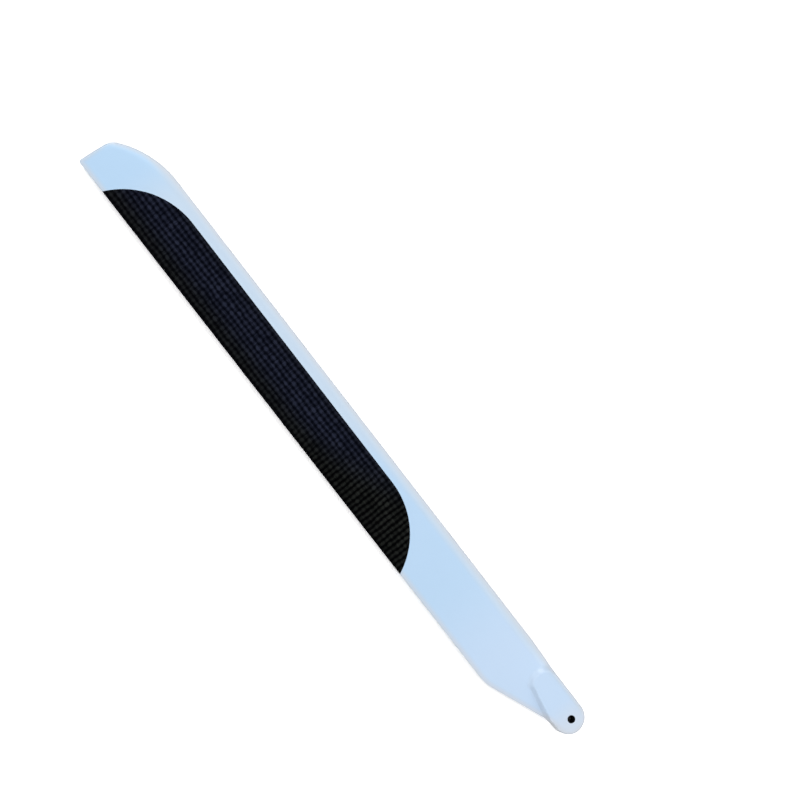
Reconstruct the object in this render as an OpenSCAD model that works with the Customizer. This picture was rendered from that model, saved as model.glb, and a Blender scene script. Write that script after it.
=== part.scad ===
// Main rotor blade of a model helicopter, moulded in one piece.
// Origin: bolt axis at mid-thickness. +X runs outboard to the tip, +Y aft to the trailing edge, +Z up.

/* [Planform] */
// Bolt axis to the outermost point of the tip
blade_length = 380; // [300:1:450]
// Leading edge to trailing edge
chord = 33.5; // [30:0.5:40]
// Bolt axis to the leading edge
leading_offset = 9.9; // [9:0.1:12]

/* [Airfoil] */
// Greatest thickness of the symmetric airfoil
airfoil_thickness = 4.1; // [3:0.1:5]
// Thickness of the blunt trailing edge
edge_thickness = 0.5; // [0.3:0.1:1]

/* [Root pad] */
// Diameter of the bolt hole
bolt_hole_d = 4; // [3:0.1:5]
// Distance between the two faces that the blade grip clamps
pad_thickness = 8; // [6:0.5:12]
// Width across the pad, centred on the bolt
pad_width = 17.8; // [15:0.2:22]
// Bolt axis to the round end of the root
root_end = 7.6; // [5:0.1:9]
// Rounding along the rear edges of the pad's faces
pad_edge_radius = 1; // [0.3:0.1:1.4]
// Depth of the fully rounded front of the pad
leading_round = 2.2; // [1:0.1:4]

/* [Root fairing] */
// Bolt axis to the rounded end of the raised tongue
tongue_length = 28; // [24:0.5:36]
// Bolt axis to where the tongue starts to narrow
tongue_straight = 4.8; // [4:0.2:12]
// Angle at which the tongue's rear edge runs in towards the leading edge
tongue_angle = 11.5; // [5:0.5:18]
// Radius of the tongue's outer rear corner
tongue_corner_radius = 3.5; // [3:0.5:8]
// Radius of the tongue's outer front corner
tongue_front_radius = 8.5; // [5:0.5:12]
// Width of the slope from the tongue's rear edge down to the skin
rear_slope = 2.2; // [1.5:0.1:4]
// Length of the slope from the tongue's end down to the skin
end_slope = 3.8; // [2.4:0.2:8]
// Bolt axis to where the trailing edge leaves the pad
flare_start = 5.5; // [3:0.5:10]
// Bolt axis to where the trailing edge reaches the full chord
flare_end = 42.5; // [34:0.5:60]
// Half the length of the curves at both ends of the flare
flare_blend = 4; // [1:0.5:6]

/* [Tip] */
// Spanwise length of the swept leading edge
sweep_length = 37.5; // [30:0.5:60]
// Straight length of the tip's outer end, from the trailing edge
tip_edge = 15; // [10:0.5:16]
// Radius between the swept leading edge and the tip's outer end
tip_corner_radius = 9.5; // [6:0.5:13]
// Angle of the tip's outer end to the chord line
tip_rake = 4.3; // [0:0.1:8]
// Radius of the corner where the tip meets the trailing edge
trailing_corner_radius = 1.5; // [0.5:0.1:3]
// Depth of the rounding along the tip's outer end
tip_round = 0.8; // [0.4:0.1:1.5]

/* [Hidden] */
paint = [0.75, 0.86, 0.96];
bore_facets = 64;
bore_overshoot = 1;

// The pad and the lines that bound the planform
pad_half = pad_thickness / 2;
pad_radius = pad_width / 2;
arc_centre_x = pad_radius - root_end;
leading_y = -leading_offset;
trailing_y = chord - leading_offset;
flare_slope = (trailing_y - pad_radius) / (flare_end - flare_start);
fairing_end = max(flare_end + flare_blend, tongue_length + end_slope);

// The airfoil's crest lies at this share of the chord, where the formula reaches half its thickness
crest = 0.3;
skin_thickness = airfoil_thickness - crest * edge_thickness;

// The swept tip: a large arc that leaves the leading edge smoothly, then the corner arc, then the straight end
sweep_x = blade_length - sweep_length;
tip_inward = [-cos(tip_rake), sin(tip_rake)];
tip_forward = [-sin(tip_rake), -cos(tip_rake)];
tip_back = [blade_length, trailing_y];
corner_centre = tip_back + tip_edge * tip_forward + tip_corner_radius * tip_inward;
corner_dx = corner_centre.x - sweep_x;
corner_dy = corner_centre.y - leading_y;
sweep_radius = (corner_dx ^ 2 + corner_dy ^ 2 - tip_corner_radius ^ 2) / (2 * (corner_dy - tip_corner_radius));
sweep_angle = asin(corner_dx / (sweep_radius - tip_corner_radius));
corner_angle = 90 - tip_rake - sweep_angle;
corner_depth = tip_corner_radius * (1 - cos(corner_angle));
sweep_end_x = sweep_x + sweep_radius * sin(sweep_angle);

// How many strips each zone of a section has, from the leading edge aft
nose_strips = 7;
front_strips = 9;
slope_strips = 7;
rear_strips = 6;
front_first = nose_strips;
slope_first = front_first + front_strips;
rear_first = slope_first + slope_strips;
strips = rear_first + rear_strips;

// Where the zones of a plain airfoil section end, as shares of the chord
airfoil_breaks = [0.08, 0.40, 0.66];
// Least width of a zone through the tongue, as a share of the section
least_zone = 0.02;
// How much of a narrow section at the round end its flat zone keeps
least_flat_share = 0.6;
// Share of the edge rounding that the outermost zone of the pad takes
wall_share = 0.35;

// How many sections each stretch of the span has
root_arc_steps = 8;
fairing_steps = 46;
plain_steps = 4;
sweep_steps = 9;
corner_steps = 10;

// Value from 0 to 1 that starts and ends level
function smooth(t) = let(c = max(0, min(1, t))) c * c * (3 - 2 * c);

// Distance past a corner, with the bend spread over a reach on both sides of it
function eased(x, corner, reach) =
    x <= corner - reach ? 0 : x >= corner + reach ? x - corner : (x - corner + reach) ^ 2 / (4 * reach);

function mix(a, b, share) = a + (b - a) * share;

// Half the width of the pad's round end, or of a circle inside it
function arc_half_width(x, radius) = sqrt(max(0, radius ^ 2 - (x - arc_centre_x) ^ 2));

// Leading edge of the root: the round end, the pad's side, then a gentle bend out to the blade's own edge
function root_leading_y(x) =
    let(bend_start = tongue_length - tongue_front_radius)
    x < arc_centre_x
        ? -arc_half_width(x, pad_radius)
        : mix(-pad_radius, leading_y, smooth((x - bend_start) / (fairing_end - bend_start)));

// Trailing edge of the root: the round end, the pad's side, then the flare to the full chord
function root_trailing_y(x) =
    x < arc_centre_x
        ? arc_half_width(x, pad_radius)
        : pad_radius + flare_slope * (eased(x, flare_start, flare_blend) - eased(x, flare_end, flare_blend));

// Rear edge of the raised tongue, before its outer corners are rounded
function tongue_y(x) = pad_radius - tan(tongue_angle) * eased(x, tongue_straight, flare_blend);

// How far a point lies inside a rounded corner, from its distances inside the corner's two sides
function inside_corner(a, b, radius) =
    a < radius && b < radius
        ? radius - norm([radius - a, radius - b])
        : min(a, b);

// How far a point lies inside the tongue, or outside it when negative
function tongue_depth(x, y) =
    let(
        from_end = tongue_length - x,
        from_rear = (tongue_y(x) - y) * cos(tongue_angle),
        from_front = y - root_leading_y(x)
    )
    min(
        inside_corner(from_end, from_rear, tongue_corner_radius),
        inside_corner(from_end, from_front, tongue_front_radius)
    );

// Reach of the slope below the tongue, which grows from its rear edge round to its end
function slope_reach(x) =
    mix(rear_slope, end_slope, smooth((x - tongue_length + tongue_corner_radius) / tongue_corner_radius));

// 1 on the tongue, 0 on the plain skin, and a level-ended slope between them
function tongue_share(x, y) = 1 - smooth(-tongue_depth(x, y) / slope_reach(x));

// Line around the tongue's rear edge and outer rear corner, at a distance outside them
function tongue_contour_y(x, outside) =
    let(
        r = tongue_corner_radius,
        past = max(0, min(r, r - tongue_length + x)),
        inset = r - sqrt((r + outside) ^ 2 - past ^ 2)
    )
    tongue_y(x) - inset / cos(tongue_angle);

// Distance of a point of the root from the nearest edge of the planform
function edge_distance(x, y) =
    x < arc_centre_x
        ? pad_radius - norm([x - arc_centre_x, y])
        : min(y - root_leading_y(x), root_trailing_y(x) - y);

// Half the pad's thickness, fully rounded at the front and with small edge roundings at the rear
function pad_height(x, y) =
    let(
        frontness = smooth(0.5 - y / pad_width),
        inset = mix(pad_edge_radius, leading_round, frontness),
        drop = mix(pad_edge_radius, pad_half, frontness),
        share = max(0, min(1, edge_distance(x, y) / inset))
    )
    pad_half - drop * (1 - sqrt(1 - (1 - share) ^ 2));

// Symmetric four-digit airfoil with a closed trailing edge, for a thickness of 1
function airfoil(u) =
    5 * (0.2969 * sqrt(u) - 0.1260 * u - 0.3516 * u ^ 2 + 0.2843 * u ^ 3 - 0.1036 * u ^ 4);

// Half the thickness of the skin at a share u of the chord
function skin_height(u, scale) = skin_thickness * scale * airfoil(u) + edge_thickness / 2 * u;

// Zones of a section at the round end, with the flat of the pad between its rounded edges
function arc_breaks(x) =
    let(
        outer = arc_half_width(x, pad_radius),
        front = max(arc_half_width(x, pad_radius - leading_round), least_flat_share * outer),
        rear = max(arc_half_width(x, pad_radius - pad_edge_radius), least_flat_share * outer),
        edge = (outer - rear) / (2 * outer)
    )
    [(outer - front) / (2 * outer), 1 - edge, 1 - wall_share * edge];

// Zones of a section through the tongue: edge rounding, flat, slope, skin
function tongue_breaks(x) =
    let(
        front = root_leading_y(x),
        width = root_trailing_y(x) - front,
        edge = pad_edge_radius / width,
        nose_end = leading_round / width,
        flat_end = max((tongue_contour_y(x, 0) - front) / width, nose_end + least_zone),
        slope_end = max((tongue_contour_y(x, slope_reach(x)) - front) / width, flat_end + least_zone)
    )
    [nose_end, min(flat_end, 1 - edge), min(slope_end, 1 - wall_share * edge)];

function root_breaks(x) =
    x < arc_centre_x
        ? arc_breaks(x)
        : mix(tongue_breaks(x), airfoil_breaks, smooth((x - tongue_length) / (fairing_end - tongue_length)));

// Share of the chord at which point i of a section lies
function chord_share(i, breaks) =
    i <= front_first
        ? breaks[0] * (1 - cos(90 * i / nose_strips))
        : i <= slope_first
            ? mix(breaks[0], breaks[1], (i - front_first) / front_strips)
            : i <= rear_first
                ? mix(breaks[1], breaks[2], (i - slope_first) / slope_strips)
                : mix(breaks[2], 1, (i - rear_first) / rear_strips);

// Upper half of a section of the root, as [x, y, height] from the leading edge aft
function root_section(x) =
    let(
        front = root_leading_y(x),
        rear = root_trailing_y(x),
        breaks = root_breaks(x)
    )
    [for (i = [0 : strips])
        let(
            u = chord_share(i, breaks),
            y = mix(front, rear, u),
            skin = skin_height(u, x < arc_centre_x ? 0 : 1),
            raised = max(0, pad_height(x, y) - skin) * tongue_share(x, y)
        )
        [x, y, i == 0 ? 0 : skin + raised]];

// Upper half of a plain airfoil section between two points of the planform
function blade_section(front, rear, rounding = 1) =
    let(scale = norm(rear - front) / chord * rounding)
    [for (i = [0 : strips])
        let(
            u = chord_share(i, airfoil_breaks),
            p = mix(front, rear, u)
        )
        [p.x, p.y, skin_height(u, scale)]];

// Trailing edge near the tip, with its corner rounded
function tip_trailing_point(x) =
    let(past = max(0, min(x, blade_length) - blade_length + trailing_corner_radius))
    [x, trailing_y - trailing_corner_radius + sqrt(trailing_corner_radius ^ 2 - past ^ 2)];

// Section across the large arc of the swept tip
function sweep_section(angle) =
    let(
        front = [sweep_x + sweep_radius * sin(angle), leading_y + sweep_radius * (1 - cos(angle))],
        share = (front.x - sweep_x) / (sweep_end_x - sweep_x)
    )
    blade_section(front, tip_trailing_point(mix(sweep_x, blade_length - corner_depth, share)));

// Section across the tip's corner, which thins to a rounded end
function corner_section(angle_left) =
    let(
        heading = 90 - tip_rake - angle_left,
        front = corner_centre + tip_corner_radius * [sin(heading), -cos(heading)],
        depth = tip_corner_radius * (1 - cos(angle_left)),
        rounding = sqrt(1 - (1 - min(1, depth / tip_round)) ^ 2)
    )
    blade_section(front, tip_trailing_point(blade_length - depth), rounding);

// All the sections, from the round end of the root out to the tip
sections = concat(
    [for (k = [1 : root_arc_steps - 1])
        root_section(arc_centre_x - pad_radius * cos(90 * (k / root_arc_steps)))],
    [for (k = [0 : fairing_steps])
        root_section(mix(arc_centre_x, fairing_end, k / fairing_steps))],
    [for (k = [1 : plain_steps])
        let(x = mix(fairing_end, sweep_x, k / plain_steps))
        blade_section([x, leading_y], [x, trailing_y])],
    [for (k = [1 : sweep_steps])
        sweep_section(sweep_angle * k / sweep_steps)],
    [for (k = [1 : corner_steps])
        corner_section(corner_angle * (1 - k / corner_steps))]
);

// Each section gives its upper points from the leading edge aft, then its lower ones without the shared first
ring = 2 * strips + 1;
last = len(sections) - 1;
apex = [-root_end, 0, 0];
skin_points = concat(
    [apex],
    [for (s = sections) each concat(s, [for (i = [1 : strips]) [s[i].x, s[i].y, -s[i].z]])]
);

function upper(k, i) = 1 + k * ring + i;
function lower(k, i) = i == 0 ? upper(k, 0) : upper(k, strips + i);

// Two triangles of a four-cornered patch, given clockwise as seen from outside and parted from b to d
function patch(a, b, c, d) = [[a, b, d], [b, c, d]];

skin_faces = concat(
    [for (i = [0 : strips - 1])
        each [[0, upper(0, i + 1), upper(0, i)], [0, lower(0, i), lower(0, i + 1)]]],
    [[0, lower(0, strips), upper(0, strips)]],
    [for (k = [0 : last - 1], i = [0 : strips - 1])
        each concat(
            patch(upper(k, i), upper(k, i + 1), upper(k + 1, i + 1), upper(k + 1, i)),
            patch(lower(k, i), lower(k + 1, i), lower(k + 1, i + 1), lower(k, i + 1))
        )],
    [for (k = [0 : last - 1])
        each patch(upper(k, strips), lower(k, strips), lower(k + 1, strips), upper(k + 1, strips))],
    [[upper(last, 0), upper(last, 1), lower(last, 1)]],
    [for (i = [1 : strips - 1])
        each patch(upper(last, i), upper(last, i + 1), lower(last, i + 1), lower(last, i))]
);

// The moulded blade, drilled for the bolt that holds it in its grip
module rotor_blade()
    color(paint)
        difference() {
            polyhedron(skin_points, skin_faces);
            cylinder(
                d = bolt_hole_d,
                h = pad_thickness + 2 * bore_overshoot,
                center = true,
                $fn = bore_facets
            );
        }

rotor_blade();
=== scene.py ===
"""Looks of a model helicopter's main rotor blade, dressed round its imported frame.

The blade is one moulding. Its skin is lofted here from the same sizes as the solid, with finer sections, so that the
gloss paint and the bare carbon window each have their own faces and meet along a true edge of the mesh.
"""

import logging
import math
from abc import ABC, abstractmethod
from collections.abc import Iterable, Iterator, Sequence
from dataclasses import dataclass, field
from enum import Enum, IntEnum

import bmesh
import bpy
import numpy as np
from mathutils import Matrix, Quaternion, Vector


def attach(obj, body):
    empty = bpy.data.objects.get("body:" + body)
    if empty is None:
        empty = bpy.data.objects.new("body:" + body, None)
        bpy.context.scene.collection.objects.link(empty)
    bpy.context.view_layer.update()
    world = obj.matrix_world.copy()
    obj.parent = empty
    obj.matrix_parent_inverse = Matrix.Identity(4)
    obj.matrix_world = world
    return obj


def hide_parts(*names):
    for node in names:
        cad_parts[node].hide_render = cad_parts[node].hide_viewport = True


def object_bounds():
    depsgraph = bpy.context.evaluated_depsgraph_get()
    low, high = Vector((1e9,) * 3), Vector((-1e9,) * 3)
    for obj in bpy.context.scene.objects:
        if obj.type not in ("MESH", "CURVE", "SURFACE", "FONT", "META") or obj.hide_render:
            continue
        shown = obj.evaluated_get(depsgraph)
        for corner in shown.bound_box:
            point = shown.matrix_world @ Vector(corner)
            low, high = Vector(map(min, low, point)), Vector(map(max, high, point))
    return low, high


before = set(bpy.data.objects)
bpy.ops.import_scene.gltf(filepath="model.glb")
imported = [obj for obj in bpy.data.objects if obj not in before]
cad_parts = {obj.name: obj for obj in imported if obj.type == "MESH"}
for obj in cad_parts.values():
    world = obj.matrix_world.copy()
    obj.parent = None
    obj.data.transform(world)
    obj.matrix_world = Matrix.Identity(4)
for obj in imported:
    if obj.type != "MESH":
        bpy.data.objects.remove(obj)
CAD_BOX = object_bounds()

LOG = logging.getLogger("rotor_blade")
MM = 0.001
CAD_NODE = "rotor_blade"
CAD_BODY = "root"
BAKE_MAP = "OFBake"
NOISE_MIDDLE = 0.5

Colour = tuple[float, float, float, float]
Pair = tuple[float, float]


class Zone(IntEnum):
    """Which finish a face of the blade has, in the order of its material slots."""

    PAINT = 0
    CARBON = 1
    BORE = 2


class SkinField(str, Enum):
    """Values that the skin's points carry for the finishes, in millimetres."""

    EDGE = "edge_mm"
    WINDOW = "window_mm"


def srgb(red: int, green: int, blue: int) -> Colour:
    """Gives the scene-linear colour of an 8-bit display colour.

    Args:
        red: Red from 0 to 255.
        green: Green from 0 to 255.
        blue: Blue from 0 to 255.

    Returns:
        Linear red, green and blue, with an alpha of 1.
    """

    def linear(level: int) -> float:
        """Undoes the display curve of one channel."""
        share = level / 255
        return share / 12.92 if share <= 0.04045 else ((share + 0.055) / 1.055) ** 2.4

    return linear(red), linear(green), linear(blue), 1.0


def smooth(t: float) -> float:
    """Value from 0 to 1 that starts and ends level."""
    c = max(0.0, min(1.0, t))
    return c * c * (3 - 2 * c)


def mix(a: float, b: float, share: float) -> float:
    """Goes from a at a share of 0 to b at a share of 1."""
    return a + (b - a) * share


def eased(x: float, corner: float, reach: float) -> float:
    """Measures the distance past a corner, with the bend spread over a reach on both sides of it.

    Args:
        x: Place to measure at.
        corner: Place of the corner.
        reach: Half the length of the bend.

    Returns:
        0 before the bend, the distance past the corner after it, and a curve between.
    """
    if x <= corner - reach:
        return 0.0
    if x >= corner + reach:
        return x - corner
    return (x - corner + reach) ** 2 / (4 * reach)


def inside_corner(a: float, b: float, radius: float) -> float:
    """Tells how far a point lies inside a rounded corner.

    Args:
        a: Distance inside one of the corner's sides.
        b: Distance inside the other side.
        radius: Radius of the corner.

    Returns:
        Distance inside the corner, or outside it when negative.
    """
    if a < radius and b < radius:
        return radius - math.hypot(radius - a, radius - b)
    return min(a, b)


@dataclass(frozen=True)
class Airfoil:
    """Symmetric four-digit section with a blunt trailing edge, in millimetres."""

    chord: float = 33.5
    leading_offset: float = 9.9
    thickness: float = 4.1
    edge_thickness: float = 0.5
    crest: float = 0.3
    breaks: tuple[float, float, float] = (0.08, 0.40, 0.66)
    four_digit: tuple[float, ...] = (0.2969, -0.1260, -0.3516, 0.2843, -0.1036)

    @property
    def leading_y(self) -> float:
        """Place of the leading edge."""
        return -self.leading_offset

    @property
    def trailing_y(self) -> float:
        """Place of the trailing edge."""
        return self.chord - self.leading_offset

    def height(self, u: float, scale: float = 1.0) -> float:
        """Gives half the thickness of the skin.

        Args:
            u: Share of the chord, from the leading edge.
            scale: Share of the full thickness that the section has.

        Returns:
            Height above the middle plane.
        """
        a, b, c, d, e = self.four_digit
        shape = 5 * (a * math.sqrt(u) + b * u + c * u**2 + d * u**3 + e * u**4)
        return (self.thickness - self.crest * self.edge_thickness) * scale * shape + self.edge_thickness / 2 * u


@dataclass(frozen=True)
class Strips:
    """How many strips each zone of a section has, from the leading edge aft."""

    nose: int = 22
    front: int = 20
    slope: int = 26
    rear: int = 26

    @property
    def count(self) -> int:
        """All the strips of half a section."""
        return self.nose + self.front + self.slope + self.rear

    def shares(self, breaks: Sequence[float]) -> np.ndarray:
        """Spreads the points of a section over its zones.

        Args:
            breaks: Where the nose, front and slope zones end, as shares of the chord.

        Returns:
            Share of the chord of each point, from 0 to 1.
        """
        nose = breaks[0] * (1 - np.cos(np.pi / 2 * np.arange(self.nose) / self.nose))
        front = np.linspace(breaks[0], breaks[1], self.front, endpoint=False)
        slope = np.linspace(breaks[1], breaks[2], self.slope, endpoint=False)
        rear = np.linspace(breaks[2], 1.0, self.rear + 1)
        return np.concatenate([nose, front, slope, rear])


@dataclass(frozen=True)
class RootFairing:
    """Thick clamp pad with its raised tongue, which fairs into the airfoil. Sizes in millimetres and degrees."""

    airfoil: Airfoil
    strips: Strips
    pad_thickness: float = 8.0
    pad_width: float = 17.8
    root_end: float = 7.6
    pad_edge_radius: float = 1.0
    leading_round: float = 2.2
    tongue_length: float = 28.0
    tongue_straight: float = 4.8
    tongue_angle: float = 11.5
    tongue_corner_radius: float = 3.5
    tongue_front_radius: float = 8.5
    rear_slope: float = 2.2
    end_slope: float = 3.8
    flare_start: float = 5.5
    flare_end: float = 42.5
    flare_blend: float = 4.0
    least_zone: float = 0.02
    least_flat_share: float = 0.6
    wall_share: float = 0.35
    arc_steps: int = 26
    fairing_steps: int = 120

    @property
    def pad_half(self) -> float:
        """Half the pad's thickness."""
        return self.pad_thickness / 2

    @property
    def pad_radius(self) -> float:
        """Radius of the round end."""
        return self.pad_width / 2

    @property
    def arc_x(self) -> float:
        """Where the round end's middle lies along the span."""
        return self.pad_radius - self.root_end

    @property
    def end_x(self) -> float:
        """Where the fairing ends and the plain airfoil starts."""
        return max(self.flare_end + self.flare_blend, self.tongue_length + self.end_slope)

    def arc_half_width(self, x: float, radius: float) -> float:
        """Half the width of the round end, or of a circle inside it."""
        return math.sqrt(max(0.0, radius**2 - (x - self.arc_x) ** 2))

    def leading_y(self, x: float) -> float:
        """Leading edge: the round end, the pad's side, then a gentle bend out to the blade's own edge.

        Args:
            x: Place along the span.

        Returns:
            Place of the edge along the chord.
        """
        if x < self.arc_x:
            return -self.arc_half_width(x, self.pad_radius)
        start = self.tongue_length - self.tongue_front_radius
        return mix(-self.pad_radius, self.airfoil.leading_y, smooth((x - start) / (self.end_x - start)))

    def trailing_y(self, x: float) -> float:
        """Trailing edge: the round end, the pad's side, then the flare to the full chord.

        Args:
            x: Place along the span.

        Returns:
            Place of the edge along the chord.
        """
        if x < self.arc_x:
            return self.arc_half_width(x, self.pad_radius)
        slope = (self.airfoil.trailing_y - self.pad_radius) / (self.flare_end - self.flare_start)
        past = eased(x, self.flare_start, self.flare_blend) - eased(x, self.flare_end, self.flare_blend)
        return self.pad_radius + slope * past

    def tongue_y(self, x: float) -> float:
        """Rear edge of the raised tongue, before its outer corners are rounded."""
        past = eased(x, self.tongue_straight, self.flare_blend)
        return self.pad_radius - math.tan(math.radians(self.tongue_angle)) * past

    def tongue_depth(self, x: float, y: float) -> float:
        """Tells how far a point lies inside the tongue.

        Args:
            x: Place along the span.
            y: Place along the chord.

        Returns:
            Distance inside the tongue, or outside it when negative.
        """
        end = self.tongue_length - x
        rear = (self.tongue_y(x) - y) * math.cos(math.radians(self.tongue_angle))
        front = y - self.leading_y(x)
        return min(
            inside_corner(end, rear, self.tongue_corner_radius), inside_corner(end, front, self.tongue_front_radius)
        )

    def slope_reach(self, x: float) -> float:
        """Reach of the slope below the tongue, which grows from its rear edge round to its end."""
        r = self.tongue_corner_radius
        return mix(self.rear_slope, self.end_slope, smooth((x - self.tongue_length + r) / r))

    def tongue_share(self, x: float, y: float) -> float:
        """1 on the tongue, 0 on the plain skin, and a level-ended slope between them."""
        return 1 - smooth(-self.tongue_depth(x, y) / self.slope_reach(x))

    def tongue_contour_y(self, x: float, outside: float) -> float:
        """Gives the line around the tongue's rear edge and its outer rear corner.

        Args:
            x: Place along the span.
            outside: Distance of the line outside the tongue.

        Returns:
            Place of the line along the chord.
        """
        r = self.tongue_corner_radius
        past = max(0.0, min(r, r - self.tongue_length + x))
        inset = r - math.sqrt((r + outside) ** 2 - past**2)
        return self.tongue_y(x) - inset / math.cos(math.radians(self.tongue_angle))

    def edge_distance(self, x: float, y: float) -> float:
        """Distance of a point from the nearest edge of the planform.

        Args:
            x: Place along the span.
            y: Place along the chord.

        Returns:
            Distance inside the edge.
        """
        if x < self.arc_x:
            return self.pad_radius - math.hypot(x - self.arc_x, y)
        return min(y - self.leading_y(x), self.trailing_y(x) - y)

    def pad_height(self, x: float, y: float) -> float:
        """Gives half the pad's thickness, fully rounded at the front and with small roundings at the rear.

        Args:
            x: Place along the span.
            y: Place along the chord.

        Returns:
            Height of the pad above the middle plane.
        """
        frontness = smooth(0.5 - y / self.pad_width)
        inset = mix(self.pad_edge_radius, self.leading_round, frontness)
        drop = mix(self.pad_edge_radius, self.pad_half, frontness)
        share = max(0.0, min(1.0, self.edge_distance(x, y) / inset))
        return self.pad_half - drop * (1 - math.sqrt(1 - (1 - share) ** 2))

    def arc_breaks(self, x: float) -> tuple[float, float, float]:
        """Zones of a section at the round end, with the flat of the pad between its rounded edges.

        Args:
            x: Place along the span.

        Returns:
            Where the nose, front and slope zones end, as shares of the chord.
        """
        outer = self.arc_half_width(x, self.pad_radius)
        least = self.least_flat_share * outer
        front = max(self.arc_half_width(x, self.pad_radius - self.leading_round), least)
        rear = max(self.arc_half_width(x, self.pad_radius - self.pad_edge_radius), least)
        edge = (outer - rear) / (2 * outer)
        return (outer - front) / (2 * outer), 1 - edge, 1 - self.wall_share * edge

    def tongue_breaks(self, x: float) -> tuple[float, float, float]:
        """Zones of a section through the tongue: edge rounding, flat, slope, skin.

        Args:
            x: Place along the span.

        Returns:
            Where the nose, front and slope zones end, as shares of the chord.
        """
        front = self.leading_y(x)
        width = self.trailing_y(x) - front
        edge = self.pad_edge_radius / width
        nose_end = self.leading_round / width
        flat_end = max((self.tongue_contour_y(x, 0) - front) / width, nose_end + self.least_zone)
        slope_line = self.tongue_contour_y(x, self.slope_reach(x))
        slope_end = max((slope_line - front) / width, flat_end + self.least_zone)
        return nose_end, min(flat_end, 1 - edge), min(slope_end, 1 - self.wall_share * edge)

    def breaks(self, x: float) -> tuple[float, ...]:
        """Zones of any section of the root.

        Args:
            x: Place along the span.

        Returns:
            Where the nose, front and slope zones end, as shares of the chord.
        """
        if x < self.arc_x:
            return self.arc_breaks(x)
        share = smooth((x - self.tongue_length) / (self.end_x - self.tongue_length))
        return tuple(mix(a, b, share) for a, b in zip(self.tongue_breaks(x), self.airfoil.breaks))

    def section(self, x: float) -> np.ndarray:
        """Makes the upper half of a section of the root.

        Args:
            x: Place along the span.

        Returns:
            Points from the leading edge aft, one to a row.
        """
        front, rear = self.leading_y(x), self.trailing_y(x)
        scale = 0.0 if x < self.arc_x else 1.0
        points = []
        for i, u in enumerate(self.strips.shares(self.breaks(x))):
            y = mix(front, rear, u)
            skin = self.airfoil.height(u, scale)
            raised = max(0.0, self.pad_height(x, y) - skin) * self.tongue_share(x, y)
            points.append((x, y, skin + raised if i else 0.0))
        return np.array(points)

    def sections(self) -> Iterator[np.ndarray]:
        """Goes from the round end of the root out to the plain airfoil.

        Yields:
            Upper half of each section.
        """
        for k in range(1, self.arc_steps):
            yield self.section(self.arc_x - self.pad_radius * math.cos(math.pi / 2 * k / self.arc_steps))
        for k in range(self.fairing_steps + 1):
            yield self.section(mix(self.arc_x, self.end_x, k / self.fairing_steps))


@dataclass
class SweptTip:
    """Blade tip with a swept leading edge, a corner arc and a raked, rounded end. Sizes in millimetres and degrees."""

    airfoil: Airfoil
    strips: Strips
    blade_length: float = 380.0
    sweep_length: float = 37.5
    tip_edge: float = 15.0
    corner_radius: float = 9.5
    rake: float = 4.3
    trailing_corner_radius: float = 1.5
    tip_round: float = 0.8
    sweep_steps: int = 44
    corner_steps: int = 28
    sweep_x: float = field(init=False)
    corner_centre: np.ndarray = field(init=False)
    sweep_radius: float = field(init=False)
    sweep_angle: float = field(init=False)
    corner_angle: float = field(init=False)

    def __post_init__(self) -> None:
        """Finds the large arc that leaves the leading edge smoothly and meets the corner arc."""
        rake = math.radians(self.rake)
        inward = np.array([-math.cos(rake), math.sin(rake)])
        forward = np.array([-math.sin(rake), -math.cos(rake)])
        back = np.array([self.blade_length, self.airfoil.trailing_y])
        self.sweep_x = self.blade_length - self.sweep_length
        self.corner_centre = back + self.tip_edge * forward + self.corner_radius * inward
        dx = self.corner_centre[0] - self.sweep_x
        dy = self.corner_centre[1] - self.airfoil.leading_y
        r = self.corner_radius
        self.sweep_radius = (dx**2 + dy**2 - r**2) / (2 * (dy - r))
        self.sweep_angle = math.asin(dx / (self.sweep_radius - r))
        self.corner_angle = math.pi / 2 - rake - self.sweep_angle

    def trailing_point(self, x: float) -> np.ndarray:
        """Trailing edge near the tip, with its corner rounded.

        Args:
            x: Place along the span.

        Returns:
            Point of the edge in the planform.
        """
        r = self.trailing_corner_radius
        past = max(0.0, min(x, self.blade_length) - self.blade_length + r)
        return np.array([x, self.airfoil.trailing_y - r + math.sqrt(r**2 - past**2)])

    def section(self, front: np.ndarray, rear: np.ndarray, rounding: float = 1.0) -> np.ndarray:
        """Makes the upper half of a plain airfoil section.

        Args:
            front: Point of the planform where the section starts.
            rear: Point of the planform where it ends.
            rounding: Share of the thickness that is left near the tip's outer end.

        Returns:
            Points from the leading edge aft, one to a row.
        """
        scale = float(np.linalg.norm(rear - front)) / self.airfoil.chord * rounding
        shares = self.strips.shares(self.airfoil.breaks)
        heights = [self.airfoil.height(float(u), scale) for u in shares]
        plan = front + (rear - front) * shares[:, None]
        return np.column_stack([plan, heights])

    def sections(self) -> Iterator[np.ndarray]:
        """Goes along the large arc of the swept tip and then round its corner.

        Yields:
            Upper half of each section.
        """
        rake = math.radians(self.rake)
        depth_all = self.corner_radius * (1 - math.cos(self.corner_angle))
        reach = math.sin(self.sweep_angle)
        for k in range(1, self.sweep_steps + 1):
            angle = self.sweep_angle * k / self.sweep_steps
            front = np.array([self.sweep_x, self.airfoil.leading_y])
            front = front + self.sweep_radius * np.array([math.sin(angle), 1 - math.cos(angle)])
            rear_x = mix(self.sweep_x, self.blade_length - depth_all, math.sin(angle) / reach)
            yield self.section(front, self.trailing_point(rear_x))
        for k in range(1, self.corner_steps + 1):
            left = self.corner_angle * (1 - k / self.corner_steps)
            heading = math.pi / 2 - rake - left
            front = self.corner_centre + self.corner_radius * np.array([math.sin(heading), -math.cos(heading)])
            depth = self.corner_radius * (1 - math.cos(left))
            rounding = math.sqrt(1 - (1 - min(1.0, depth / self.tip_round)) ** 2)
            yield self.section(front, self.trailing_point(self.blade_length - depth), rounding)


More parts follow.
